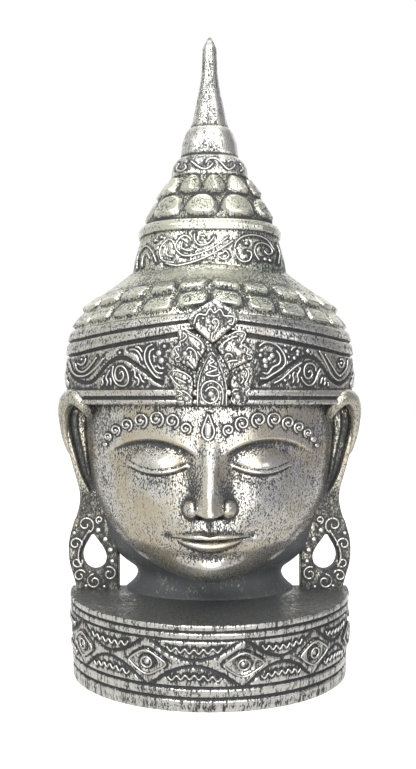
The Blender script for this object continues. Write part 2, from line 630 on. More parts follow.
print("crown")
crown = {
    # height, how much higher the row stands in front, half width and depth
    "profile": (
        (115.4, 0.0, 89.8, 68.0), (116.4, 0.0, 90.6, 69.2), (118.0, 0.0, 90.6, 69.2),
        (118.6, 0.0, 89.2, 67.8), (119.8, 0.0, 89.2, 67.8), (120.4, 0.0, 90.8, 69.6),
        (123.4, 0.0, 91.0, 69.8), (124.0, 0.0, 89.6, 68.2), (125.2, 0.2, 89.8, 68.4),
        (136.0, 5.5, 90.6, 69.2), (143.8, 10.6, 90.0, 68.6), (144.6, 11.0, 88.4, 67.0),
        (145.6, 11.4, 88.6, 67.2), (146.2, 11.5, 90.4, 69.2), (152.2, 8.6, 89.4, 68.6),
        (153.0, 8.5, 88.0, 67.0), (154.0, 8.5, 88.0, 67.0), (154.6, 8.4, 89.2, 68.4),
        (159.8, 5.8, 87.4, 67.0), (160.8, 5.9, 85.4, 65.0),
    ),
    "typical": (90, 69), "columns": 560, "perDegree": 1.574, "rowStep": 0.45, "soften": 0.32,
    # distance from the front's middle, then height; the two halves were cut by eye and differ
    "scrolls": (
        [(-109.0, 141.5), (-104.7, 138.0), (-99.4, 134.4), (-93.0, 132.3), (-85.2, 131.9), (-79.4, 132.9),
         (-74.1, 135.2), (-69.4, 137.9), (-65.0, 141.6)],
        [(-95.6, 139.7), (-93.7, 136.7), (-89.0, 134.6), (-83.9, 134.5), (-79.0, 136.3), (-74.9, 139.0),
         (-71.3, 142.3)],
        [(-92.2, 139.6), (-87.6, 138.4), (-83.4, 139.6), (-82.2, 142.2)],
        [(-57.2, 137.2), (-58.1, 132.1), (-55.3, 126.9), (-50.1, 125.9), (-47.1, 128.6), (-47.9, 133.8),
         (-51.2, 136.8), (-54.6, 136.2), (-56.2, 132.8), (-55.4, 129.6), (-52.6, 128.8), (-50.2, 131.0),
         (-51.2, 134.0), (-53.2, 132.6)],
        [(-67.4, 126.0), (-65.8, 128.0), (-66.7, 129.8), (-64.8, 131.9)],
        [(-63.2, 126.0), (-62.0, 128.2), (-63.2, 130.6), (-61.4, 133.2), (-60.0, 135.0)],
        [(-59.9, 126.2), (-59.4, 128.4), (-60.2, 130.6)],
        [(-45.2, 134.0), (-43.5, 135.0), (-42.5, 133.2), (-42.6, 130.9), (-40.5, 129.5), (-40.4, 127.3),
         (-41.6, 125.9)],
        [(-40.2, 132.6), (-39.2, 130.8), (-38.2, 128.6), (-36.6, 127.6)],
        [(-46.4, 145.7), (-43.1, 145.8), (-40.3, 144.2), (-38.7, 141.8), (-37.6, 139.3)],
        [(-42.6, 147.4), (-39.9, 146.6), (-37.7, 144.1)],
        [(-31.7, 148.4), (-34.9, 146.8), (-36.4, 143.2), (-36.0, 139.5), (-34.1, 135.8), (-31.7, 132.6),
         (-29.3, 130.4), (-26.9, 129.9)],
        [(-30.7, 145.8), (-32.9, 144.9), (-33.6, 141.7), (-33.0, 139.0), (-31.6, 136.3), (-29.7, 133.5),
         (-27.3, 132.6), (-25.6, 132.8)],
        [(-28.9, 137.1), (-27.3, 135.3), (-24.9, 135.3)],
        [(26.9, 147.1), (30.4, 149.4), (33.9, 149.5), (37.9, 147.8), (41.0, 144.6), (42.7, 141.0),
         (42.4, 137.3), (39.4, 134.5), (35.3, 132.2), (31.4, 129.9), (27.5, 129.9)],
        [(37.3, 145.0), (39.0, 143.2), (39.7, 140.5), (38.7, 137.7), (35.7, 136.3), (34.2, 134.9),
         (32.3, 132.6), (29.4, 132.8)],
        [(46.7, 145.2), (48.2, 146.9), (50.5, 147.4)],
        [(36.0, 127.2), (40.6, 129.5), (45.3, 133.3), (49.6, 136.5), (54.3, 139.0)],
        [(68.8, 136.0), (66.9, 133.2), (65.1, 129.4), (62.5, 126.7), (58.6, 126.5), (55.3, 128.8),
         (53.6, 131.1)],
        [(64.7, 134.1), (64.5, 136.4), (61.8, 138.4), (58.0, 138.2), (55.9, 136.0), (56.0, 132.6),
         (58.0, 130.2), (60.9, 130.7), (62.1, 132.8), (60.6, 134.7), (58.8, 133.4)],
        [(45.3, 129.6), (46.2, 131.2), (45.8, 132.3)],
        [(48.0, 127.3), (48.7, 129.6), (47.8, 131.9), (49.2, 133.8)],
        [(51.3, 127.4), (51.9, 129.4), (51.0, 132.0), (52.6, 134.3), (52.8, 136.4)],
        [(69.5, 127.2), (70.1, 129.5), (71.5, 131.2)],
        [(72.7, 126.4), (73.7, 128.2), (72.8, 129.8), (74.3, 130.9)],
        [(76.6, 125.9), (77.0, 127.2), (76.1, 128.3)],
        [(68.0, 145.9), (71.4, 142.3), (75.0, 137.6), (78.6, 133.4), (84.6, 130.2), (88.4, 129.5)],
        [(73.3, 144.2), (77.0, 140.5), (81.0, 136.8), (85.2, 133.6), (89.7, 131.9)],
        [(89.7, 131.9), (96.5, 134.8), (101.7, 138.3), (102.8, 142.0)],
        [(87.3, 139.4), (90.3, 137.1), (94.1, 137.7), (96.4, 140.2), (93.8, 142.0), (90.4, 141.6)],
    ),
    "beads": (
        (-28.0, 143.5, 1.8), (-26.5, 139.4, 1.9), (-29.9, 136.2, 0.8), (-24.9, 147.1, 1.1),
        (-52.9, 144.3, 0.9), (-36.2, 130.0, 0.8), (-87.4, 141.6, 0.8), (34.7, 142.2, 1.6), (33.2, 140.6, 1.3),
        (30.4, 139.4, 1.9), (30.8, 136.6, 1.5), (27.8, 142.3, 1.2), (43.0, 147.9, 0.9), (51.6, 144.9, 1.3),
        (51.3, 143.2, 1.1), (48.9, 141.2, 1.2), (45.2, 141.7, 0.8), (59.0, 145.4, 1.4), (43.0, 128.9, 1.0),
        (91.8, 139.6, 0.9),
    ),
    "cuts": (
        [(-110.7, 136.2), (-101.6, 132.0), (-92.2, 129.3), (-84.8, 128.2), (-77.3, 128.4), (-72.3, 130.5),
         (-68.2, 133.4), (-63.7, 137.0), (-59.1, 139.9), (-53.6, 141.4), (-48.4, 141.0), (-44.4, 138.9),
         (-39.2, 135.5), (-34.2, 132.2), (-29.8, 129.0), (-26.5, 127.2)],
        [(28.0, 126.9), (31.4, 128.3), (37.4, 131.3), (42.5, 134.5), (47.3, 137.8), (51.9, 140.4),
         (55.6, 142.0), (60.8, 142.4), (66.1, 140.7), (71.7, 136.6), (77.0, 131.9), (82.7, 128.9),
         (90.4, 127.6), (99.2, 129.6), (110.7, 134.6)],
    ),
    # bare silver that stands a little above the cuts
    "swellings": (
        [(-49.2, 144.2), (-45.0, 143.2), (-41.2, 141.2)],
        [(-47.4, 138.4), (-43.6, 136.2), (-39.0, 133.2), (-34.4, 130.0), (-28.6, 126.6)],
        [(-76.4, 131.4), (-71.6, 135.2), (-67.4, 139.8), (-61.4, 143.0), (-55.8, 145.4)],
        [(66.2, 144.0), (70.6, 140.4), (74.6, 135.2)],
    ),
    # what both halves share toward the back
    "sideScrolls": (
        spiral(-124.0, 131.4, 4.6, 0.9, -1.9, 60),
        [(-133.4, 125.8), (-132.2, 128.2), (-133.4, 130.6), (-131.6, 133.0)],
        [(-116.6, 125.8), (-115.4, 128.2), (-116.4, 130.4), (-114.8, 132.8)],
        [(-112.2, 125.7), (-111.2, 127.8), (-112.0, 129.6)],
        [(-137.6, 125.8), (-136.6, 127.8), (-137.2, 129.4)],
    ),
    "sideCut": [(-110.7, 135.6), (-116.5, 139.0), (-123.5, 140.2), (-130.5, 138.4), (-136.5, 134.4),
                (-141.0, 131.0)],
}


def crownRow(angle, z):
    # the drawn row whose risen line passes through z: the fixed point of row = z - rise(row)
    found = z + 0 * angle
    for _ in range(24):
        found = 0.5 * found + 0.5 * (z - fromProfile(crown["profile"], found, 1) * crownRise(angle))
    return found


def crownSurface(along, z):
    # the half-ellipse of the row that passes through z, turned by the distance along it
    angle = along / crown["perDegree"]
    row = crownRow(angle, z)
    halfWidth, depth = fromProfile(crown["profile"], row, 2), fromProfile(crown["profile"], row, 3)
    x, forward = section(halfWidth, depth, angle)
    return headPoint(x, forward, z)


crownLines = list(crown["scrolls"] + crown["sideScrolls"]) + mirrored(crown["sideScrolls"])
crownBeads = [bead(*b) for b in crown["beads"]]
crownCuts = list(crown["cuts"]) + [crown["sideCut"]] + mirrored([crown["sideCut"]])


def buildCrown():
    # the half-ellipses let in by 1.1 on the cuts and 0.45 beside the piping, raised 0.35 on the swellings
    angle = evenAngles(crown)
    rows, _, x, forward, z = halfRound(crown, angle)
    points = headPoint(x, forward, z)
    along = angle[None, :] * crown["perDegree"] + np.zeros_like(z)
    field = ramp(rows[:, 0:1], 124.2, 125.6) * (1 - ramp(rows[:, 0:1], 142.6, 143.9))
    cut = nearest(along, z, crownCuts)
    piped = nearest(along, z, crownLines + crownBeads)
    bare = fade(nearest(along, z, crown["swellings"]), 1.5, 4) * (1 - fade(cut, 1.3, 4))
    height = field * (-1.1 * fade(cut, 1.05, 4) - 0.45 * fade(piped - 1.2, 0.9) + 0.35 * bare)
    points = lifted(points, height)
    soot = 0.52 + 0.45 * np.clip(hollows(points, 3, 3) / 0.25, -0.7, 1.2)
    soot += field * (0.16 + 0.36 * fade(piped, 1.6) + 0.6 * fade(cut, 1.15, 4) - 0.3 * bare)
    return closedFront("crown", points, soot, 0.6)


finishPiece(buildCrown(), "silver_on_wood")
finishPiece(pipes("crownScrolls", crownLines, crownSurface, 1.15, 0.85), "silver_on_piping")
finishPiece(pipes("crownBeads", crownBeads, crownSurface, 1.6, 0.9), "silver_on_piping")

print("hair")
hair = {
    "profile": (
        (156.4, 5.9, 83.6, 63.0), (160.8, 5.9, 85.1, 64.7), (164.0, 9.6, 83.8, 62.4),
        (174.2, 8.6, 78.4, 56.2), (181.0, 6.0, 71.4, 51.5), (187.0, 3.4, 63.0, 46.6),
        (192.5, 1.6, 55.4, 42.0), (196.5, 0.6, 50.4, 39.0), (201.0, 0.0, 44.0, 34.0),
    ),
    "typical": (85, 64), "columns": 520, "rowStep": 0.5, "soften": 1.0,
    # each row of curls: the height of its middle, and how tall it is
    "curlRows": ((166.4, 11.6), (177.6, 11.0)), "curlsInRow": 12, "gap": 2.5, "proud": 2.6,
}


def buildHair():
    # a row of curls: full within edge = (|across|^5 + |up|^5)^(1/5) < 1, steep below and sloped above
    rows, length, x, forward, z = halfRound(hair, evenAngles(hair))
    share = np.linspace(0, 1, hair["columns"])[None, :]
    points = headPoint(x, forward, z)
    around = lengthAround(points)
    height, floor = np.zeros(z.shape), np.zeros(z.shape)
    for centre, tall in hair["curlRows"]:
        at = np.interp(centre, rows[:, 0], length)
        for k in range(hair["curlsInRow"]):
            grow, lean = jitter.uniform(-1.2, 1.2), jitter.uniform(-0.16, 0.16)
            drop = jitter.uniform(-0.6, 0.6)
            halfWide = (around / hair["curlsInRow"] - hair["gap"] + grow) / 2
            up = (length[:, None] - at - drop) / (tall / 2)
            across = (share - (k + 0.5) / hair["curlsInRow"]) * around / halfWide + lean * up
            edge = (np.abs(across) ** 5 + np.abs(up) ** 5) ** 0.2
            rounded = 1 - ramp(edge, 0.8 - 0.4 * ramp(up, -0.2, 0.9), 1.06)
            shape = rounded * (0.62 - 0.38 * np.clip(up, -1, 1))
            tilt = 1 + 0.22 * lean / 0.16 * across
            height = np.maximum(height, shape * hair["proud"] * tilt * (1 - 0.12 * across ** 2))
        floor = np.maximum(floor, fade(length[:, None] - at, 6.4, 8))
    points = lifted(points, height)
    soot = 0.5 + 0.3 * np.clip(hollows(points, 3, 3) / 0.35, -0.9, 0.9)
    soot += floor * 0.1 * (1 - ramp(height, 0.0, 1.0)) - 0.06 * ramp(z, 184, 192)
    # rubbed bright under the topknot's middle, dull to each side of it
    soot += 0.2 * bump(np.abs(x + 2), z, 33, 187, 13, 6) - 0.34 * bump(x, z, -2, 191.5, 13, 4.5)
    return closedFront("hair", points, soot, 0.75)


finishPiece(buildHair(), "silver_on_hair")

print("leaves")
leaves = {
    # outlines measured from the ornament's own middle: across, then height
    "jewel": ((-8.8, 114.6), (8.8, 114.6), (8.4, 122.9), (7.2, 129.4), (5.4, 134.8), (3.0, 140.2),
              (0.2, 144.6), (-3.2, 139.8), (-5.6, 134.8), (-7.4, 129.4), (-8.6, 122.9)),
    "lower": ((9.8, 114.6), (18.4, 114.6), (19.6, 118.9), (20.4, 123.0), (22.8, 127.6), (23.2, 131.6),
              (22.6, 135.6), (20.2, 136.8), (15.6, 134.6), (10.6, 130.8), (9.2, 127.4)),
    "middle": ((1.6, 146.0), (4.0, 142.2), (6.6, 137.8), (9.0, 133.2), (12.2, 134.4), (17.0, 137.2),
               (22.8, 140.2), (23.0, 144.2), (21.0, 147.4), (18.6, 149.4), (19.4, 152.9), (18.6, 156.6),
               (14.4, 156.2), (8.6, 152.9), (4.6, 149.6)),
    "top": ((0.8, 147.2), (4.6, 151.0), (8.8, 154.8), (13.2, 158.0), (15.2, 162.6), (12.8, 166.6),
            (7.2, 170.4), (2.2, 173.6), (-2.4, 171.6), (-7.6, 168.4), (-12.4, 165.0), (-13.8, 161.4),
            (-11.6, 157.6), (-7.6, 154.0), (-2.4, 149.2)),
    "middleX": 1.2, "footDepth": 69.8, "lean": 2.4, "proud": 2.4, "jewelStep": 0.9,
}
leafLines = {
    "jewel": (
        [(1.2, 143.4), (-1.5, 139.4), (-3.4, 135.4), (-4.9, 131.3), (-6.1, 125.0), (-6.4, 115.2)],
        [(1.2, 143.4), (3.9, 139.4), (5.7, 134.6), (7.6, 129.2), (8.6, 122.9), (8.8, 115.2)],
        [(0.8, 141.4), (0.1, 140.2), (2.4, 138.8), (-0.4, 136.8), (3.9, 134.6), (-2.2, 132.0), (1.6, 130.8),
         (5.4, 131.6)],
        [(6.6, 115.4), (7.0, 120.8), (5.6, 125.6), (1.2, 128.2), (-3.3, 126.4), (-4.6, 122.2), (-3.4, 118.2),
         (0.3, 116.2), (3.9, 118.2), (4.6, 121.8), (2.7, 124.5), (-0.5, 124.6), (-2.6, 122.4)],
        bead(0.6, 121.2, 1.8),
    ),
    "middle": (
        [(-13.7, 155.5), (-7.2, 152.0), (-0.2, 146.5)],
        [(-12.2, 153.9), (-7.4, 151.2), (-4.3, 148.5), (-3.4, 145.9)], bead(-3.6, 146.4, 1.2),
        [(-14.6, 154.2), (-12.3, 152.3), (-14.0, 150.2), (-16.0, 149.2), (-15.7, 146.9), (-18.7, 146.3),
         (-17.8, 143.5), (-16.4, 141.4), (-18.4, 140.5), (-17.8, 139.1), (-15.9, 138.8)],
        [(-12.9, 144.3), (-11.0, 146.0), (-8.5, 144.7), (-7.2, 142.2), (-6.8, 138.9)],
        bead(-13.3, 142.8, 1.5),
        [(-6.8, 144.2), (-5.4, 142.4), (-4.3, 140.6)], [(-12.4, 138.8), (-10.4, 136.6), (-8.6, 134.8)],
        [(4.1, 148.0), (7.1, 150.2), (11.8, 153.2), (15.9, 154.8), (18.9, 153.8), (18.2, 150.7),
         (16.6, 148.1), (19.6, 146.5), (20.4, 144.8), (19.6, 142.9), (22.2, 141.9), (22.0, 140.3),
         (20.0, 140.1)],
        [(6.2, 146.4), (7.9, 148.9), (11.7, 151.3), (14.9, 152.2)], bead(6.4, 146.6, 1.3),
        [(7.8, 140.6), (9.0, 142.6), (11.4, 142.4), (12.0, 140.6)],
        [(8.8, 138.0), (11.6, 139.0), (15.2, 139.2)], bead(16.6, 146.6, 1.1),
    ),
    "lower": (
        [(-10.9, 128.4), (-10.2, 129.8), (-14.4, 132.8), (-18.7, 133.9), (-21.4, 133.1), (-20.5, 130.1),
         (-18.0, 126.9), (-15.4, 125.2)],
        [(-18.8, 130.2), (-16.2, 128.8), (-12.6, 127.0)], bead(-11.0, 128.0, 1.1),
        [(-17.0, 125.2), (-18.9, 123.7), (-15.6, 122.4), (-14.9, 121.0), (-18.3, 119.7), (-16.9, 117.2),
         (-13.7, 117.0)],
        [(-15.3, 123.3), (-12.0, 121.6), (-9.4, 118.7)], bead(-12.4, 118.7, 1.5),
        [(12.6, 130.7), (14.7, 133.2), (16.6, 134.6), (19.5, 134.8), (20.9, 132.4), (19.9, 128.8),
         (18.7, 126.5), (21.1, 124.6), (19.3, 121.6), (20.6, 119.1), (19.6, 116.0)],
        [(16.6, 131.2), (18.0, 129.0), (16.4, 126.6)], bead(13.2, 129.8, 1.3), bead(14.9, 119.6, 1.7),
        [(11.8, 121.8), (13.0, 123.6), (15.6, 123.6)], [(11.8, 119.4), (12.0, 117.4), (13.8, 115.9)],
    ),
    "top": (
        [(-8.7, 158.4), (-7.4, 162.4), (-5.5, 164.0), (-2.2, 163.6), (-0.6, 166.4), (0.8, 166.7),
         (2.3, 164.6), (5.2, 166.6), (6.6, 165.1), (7.6, 163.1), (9.8, 163.0), (12.6, 162.7), (13.0, 160.7),
         (11.8, 158.4), (9.9, 158.9)],
        [(2.2, 153.4), (3.2, 155.6), (4.6, 158.0), (4.6, 160.4), (2.6, 161.4), (1.2, 159.8), (2.6, 158.6)],
        bead(-1.0, 160.0, 1.7), [(-4.4, 161.4), (-3.6, 162.0), (-3.0, 161.4)],
        [(1.6, 148.8), (0.9, 151.4), (1.6, 154.4)],
    ),
    # pale lobes that stand a little above their leaf
    "swellings": (
        [(-6.2, 157.6), (-3.4, 154.8), (-1.0, 152.2)], [(10.2, 157.0), (7.2, 154.0), (4.6, 151.2)],
        [(-11.6, 140.6), (-8.2, 136.6)],
        [(9.4, 145.8), (12.6, 145.2), (15.6, 143.4)], [(11.4, 127.0), (15.0, 125.6)],
        [(-9.8, 150.6), (-5.4, 146.6)],
        [(-15.0, 130.8), (-11.8, 129.4)], [(16.8, 137.6), (20.4, 138.4)],
    ),
}
jewelLines = list(leafLines["jewel"])
sideLines = list(leafLines["middle"]) + list(leafLines["lower"]) + list(leafLines["top"])
roofLines = [
    [(-14.4, 162.6), (-8.2, 167.4), (-2.0, 171.2), (3.6, 174.0)], [(3.6, 174.0), (9.2, 170.8), (16.4, 165.8)],
]


def leafHeight(x, z):
    # height over the sunk ground: each leaf is full inside its outline, with a soft cut edge
    ground = -1.8 - 7.0 * ramp(z, 158, 168)
    made = ground + 0 * x
    x = x - leaves["middleX"]
    for name, side in (("lower", -1), ("lower", 1), ("middle", -1), ("middle", 1), ("top", 1), ("jewel", 1)):
        edge = insideOf(side * x, z, leaves[name])
        proud = leaves["proud"] + (leaves["jewelStep"] if name == "jewel" else 0)
        full = proud - 0.7 * (1 - ramp(edge, 0.2, 1.8))
        made = np.maximum(made, ground + (full - ground) * ramp(edge, 0.2, 1.0))
    return made


def leafSurface(x, z):
    # the crown's front, sqrt(1 - (x / 90)^2) forward, leaning back over the band, plus the leaves
    depth = np.sqrt(1 - (x / 90.0) ** 2) * (leaves["footDepth"] - ramp(z, 150, 175) * leaves["lean"])
    return headPoint(x, depth + leafHeight(x, z), z)


def buildLeaves():
    # a flat grid over the leaf heights; its lobes are raised by 0.45 between the piped lines
    x, z = np.meshgrid(np.linspace(-24.0, 26.4, 165), np.linspace(114.4, 175.6, 200))
    points = leafSurface(x, z)
    piped = nearest(x, z, jewelLines + sideLines + roofLines)
    lobes = fade(nearest(x, z, leafLines["swellings"]), 1.9, 4) * ramp(piped, 0.6, 1.4)
    points = lifted(points, 0.45 * lobes)
    soot = 0.54 + 0.3 * np.clip(hollows(points, 3, 3) / 0.3, -0.6, 1.3) - 0.14 * lobes
    soot += 0.4 * fade(piped, 1.2) + 0.9 * (1 - ramp(leafHeight(x, z), -0.4, 1.7))
    return closedFront("leaves", points, soot, 56.0)


finishPiece(buildLeaves(), "silver_on_wood")
finishPiece(pipes("jewelPiping", jewelLines, leafSurface, 1.05, 0.8), "silver_on_piping")
finishPiece(pipes("leafPiping", sideLines, leafSurface, 1.05, 0.8), "silver_on_piping")
finishPiece(pipes("roofPiping", roofLines, leafSurface, 1.8, 0.9), "silver_on_piping")

print("topknot")
topknot = {
    "profile": (
        (193.0, 49.0, 38.4), (200.0, 47.7, 37.6), (204.2, 47.2, 37.2), (211.8, 45.0, 35.6),
        (218.2, 43.2, 34.2), (218.9, 44.6, 35.4), (222.0, 45.0, 35.6), (225.0, 42.8, 34.0),
        (225.8, 40.2, 32.0), (231.0, 37.6, 29.8), (238.8, 34.0, 27.0), (246.6, 29.6, 23.8),
        (254.0, 25.4, 20.6), (256.3, 24.0, 19.4), (257.0, 24.8, 19.8),
    ),
    "typical": (47, 37), "squareness": 2.7, "columns": 290, "rowStep": 0.42, "soften": 0.35,
    # each row of petals: its middle, how many, the shift to one side, how tall, how ridged
    "petalRows": ((234.8, 5, -0.22, 16.6, 0.0), (249.0, 6, -0.3, 14.6, 0.7)), "gap": 0.2, "proud": 2.9,
    "scrolls": (
        [(-10.7, 211.0), (-12.1, 213.5), (-15.4, 214.6), (-18.7, 211.8), (-20.1, 207.9), (-18.1, 204.4),
         (-14.4, 202.3), (-7.4, 203.2), (1.9, 207.0), (10.8, 213.6)],
        [(-26.2, 198.5), (-21.4, 196.9), (-16.7, 196.9), (-7.4, 199.4), (3.8, 204.6), (14.0, 211.6)],
        [(-8.8, 216.2), (-8.8, 212.0), (-6.0, 208.7), (-0.9, 209.7), (2.9, 214.0)],
        [(14.5, 207.2), (16.0, 211.2), (20.8, 214.8), (28.0, 215.7), (34.4, 213.4), (38.9, 207.6)],
        [(14.5, 207.2), (15.5, 202.8), (18.3, 199.4), (22.5, 199.4), (24.4, 202.3), (24.0, 205.1),
         (21.4, 205.6)],
        [(29.2, 200.2), (26.4, 204.8), (27.4, 209.4), (30.8, 211.3), (35.3, 209.9), (37.4, 206.4),
         (34.4, 204.4), (32.0, 206.6)],
        [(4.3, 202.2), (8.4, 200.1), (11.2, 202.3), (9.4, 205.1), (7.4, 203.4)],
        [(-20.2, 207.9), (-21.6, 211.5), (-25.1, 212.5), (-29.2, 207.1), (-27.7, 200.4), (-20.6, 198.4)],
        [(-43.8, 197.5), (-43.2, 206.0), (-38.4, 210.7), (-34.1, 206.2), (-31.4, 199.4)],
        [(-40.4, 198.0), (-40.0, 203.4), (-37.8, 206.0), (-35.2, 202.0)],
        [(41.2, 200.0), (42.4, 207.0), (40.6, 212.4)], [(-24.6, 208.0), (-25.4, 203.6), (-22.0, 201.8)],
        [(-15.8, 211.2), (-16.6, 207.4), (-13.0, 205.4), (-9.4, 206.2)],
    ),
    "beads": (
        (21.6, 210.2, 1.2), (-13.6, 208.6, 1.1), (32.7, 201.4, 1.1), (35.8, 201.0, 1.0), (-4.0, 212.6, 1.0),
        (-28.6, 214.6, 1.0), (6.8, 209.8, 1.0), (1.0, 200.6, 1.1), (-32.4, 213.0, 1.0),
    ),
}


def squaredSurface(shape):
    # forward = b (1 - (|x| / a)^n)^(1/n), with a and b the profile's numbers at each height
    def surface(x, z):
        # both numbers are read anew at each z
        halfWidth, depth = fromProfile(shape["profile"], z, 1), fromProfile(shape["profile"], z, 2)
        n = shape["squareness"]
        return headPoint(x, depth * np.clip(1 - (np.abs(x) / halfWidth) ** n, 1e-4, 1) ** (1 / n), z)

    return surface


topknotLines = list(topknot["scrolls"])
topknotBeads = [bead(*b) for b in topknot["beads"]]


def buildTopknot():
    # a row of petals: full within (|across|^2.8 + |up|^2.8)^(1/2.8) < 1 and narrower above, some ridged
    rows, length, x, forward, z = halfRound(topknot, evenAngles(topknot))
    points = headPoint(x, forward, z)
    around = lengthAround(points)
    share = np.linspace(0, 1, topknot["columns"])[None, :]
    height = np.zeros(z.shape)
    for centre, count, shift, tall, ridge in topknot["petalRows"]:
        at = np.interp(centre, rows[:, 0], length)
        for k in range(-1, count + 1):
            grow, lean = jitter.uniform(-0.5, 0.5), jitter.uniform(-0.6, 0.6)
            up = (length[:, None] - at) / (tall / 2)
            halfWide = (around / count - topknot["gap"] + grow) / 2 * (1 - 0.3 * ramp(up, -0.2, 1.1))
            across = (share - (k + 0.5 + shift) / count) * around / halfWide
            edge = (np.abs(across) ** 2.8 + np.abs(up) ** 2.8) ** (1 / 2.8)
            shape = (1 - ramp(edge, 0.66, 1.05)) * (0.75 - 0.25 * np.clip(up, -1, 1))
            shape = shape * (1.05 - 0.3 * np.abs(across) ** 2)
            shape = shape * (1 + ridge * (0.35 - np.abs(across + lean * up)))
            height = np.maximum(height, shape * topknot["proud"])
    band = ramp(z, 194, 196) * (1 - ramp(z, 216.5, 218))
    piped = nearest(x, z, topknotLines + topknotBeads)
    height -= band * 0.45 * fade(piped - 1.2, 0.9)
    points = lifted(points, height)
    soot = 0.47 + 0.42 * np.clip(hollows(points, 3, 3) / 0.35, -0.7, 1.2)
    soot += band * (0.06 + 0.42 * fade(piped, 1.3))
    soot += ramp(z, 225.4, 226.4) * 0.28 * (1 - ramp(height, 0.0, 1.0)) * (1 - ramp(z, 255, 257))
    # the front is rubbed most and the right side least
    soot += 0.04 + 0.16 * ramp(x, 6, 34) - 0.16 * fade(x + 1, 14) * (1 - ramp(z, 226, 232))
    return closedFront("topknot", points, soot, 0.9)


finishPiece(buildTopknot(), "silver_on_hair")
topknotFront = squaredSurface(topknot)
finishPiece(pipes("topknotScrolls", topknotLines, topknotFront, 1.05, 0.8), "silver_on_piping")
finishPiece(pipes("topknotBeads", topknotBeads, topknotFront, 1.6, 0.9), "silver_on_piping")

print("spire")
spire = {
    "profile": (
        (255.4, 23.0, 18.6), (257.0, 24.6, 19.7), (265.4, 23.2, 18.4), (268.4, 20.6, 16.4),
        (270.4, 18.2, 14.4), (271.2, 18.4, 14.8), (280.5, 17.2, 14.0), (285.5, 15.4, 12.8),
        (288.2, 14.2, 11.6), (289.2, 12.6, 10.6), (292.8, 11.4, 9.8), (297.0, 10.2, 9.0), (304.5, 8.8, 8.0),
        (312.0, 7.2, 6.8), (319.5, 5.8, 5.8), (327.0, 4.9, 5.2), (341.5, 4.4, 4.9), (345.0, 3.0, 3.6),
        (348.5, 0.5, 0.8),
    ),
    "typical": (24, 19), "squareness": 2.7, "columns": 120, "rowStep": 0.55, "soften": 0.5,
    "collar": (
        [(-11.6, 264.4), (-6.7, 260.2), (-2.8, 258.8), (0.1, 260.2), (2.3, 262.7)],
        [(-2.4, 262.6), (-0.9, 265.0), (2.5, 265.8), (5.9, 264.1), (9.3, 260.4), (11.8, 258.8), (14.7, 260.6),
         (15.6, 262.8)],
        [(10.8, 263.4), (13.3, 265.2), (15.8, 264.2)],
        [(-18.6, 264.2), (-20.4, 261.0), (-17.6, 258.6), (-14.4, 260.4), (-15.6, 263.0)],
        [(18.4, 264.0), (20.6, 261.4), (18.8, 258.8)],
    ),
}


def buildSpire():
    # half superellipses, black in the hollows and round the collar's piping
    _, _, x, forward, z = halfRound(spire, evenAngles(spire))
    points = headPoint(x, forward, z)
    soot = 0.5 + 0.45 * np.clip(hollows(points, 2.5, 3) / 0.3, -0.6, 1.2)
    collar = ramp(z, 256, 257) * (1 - ramp(z, 267, 269))
    soot += collar * (0.15 + 0.4 * fade(nearest(x, z, spire["collar"]), 1.6))
    return closedFront("spire", points, soot, 1.05)


finishPiece(buildSpire(), "silver_on_spire")
spireFront = squaredSurface(spire)
finishPiece(pipes("collarPiping", spire["collar"], spireFront, 1.3, 0.85), "silver_on_piping")

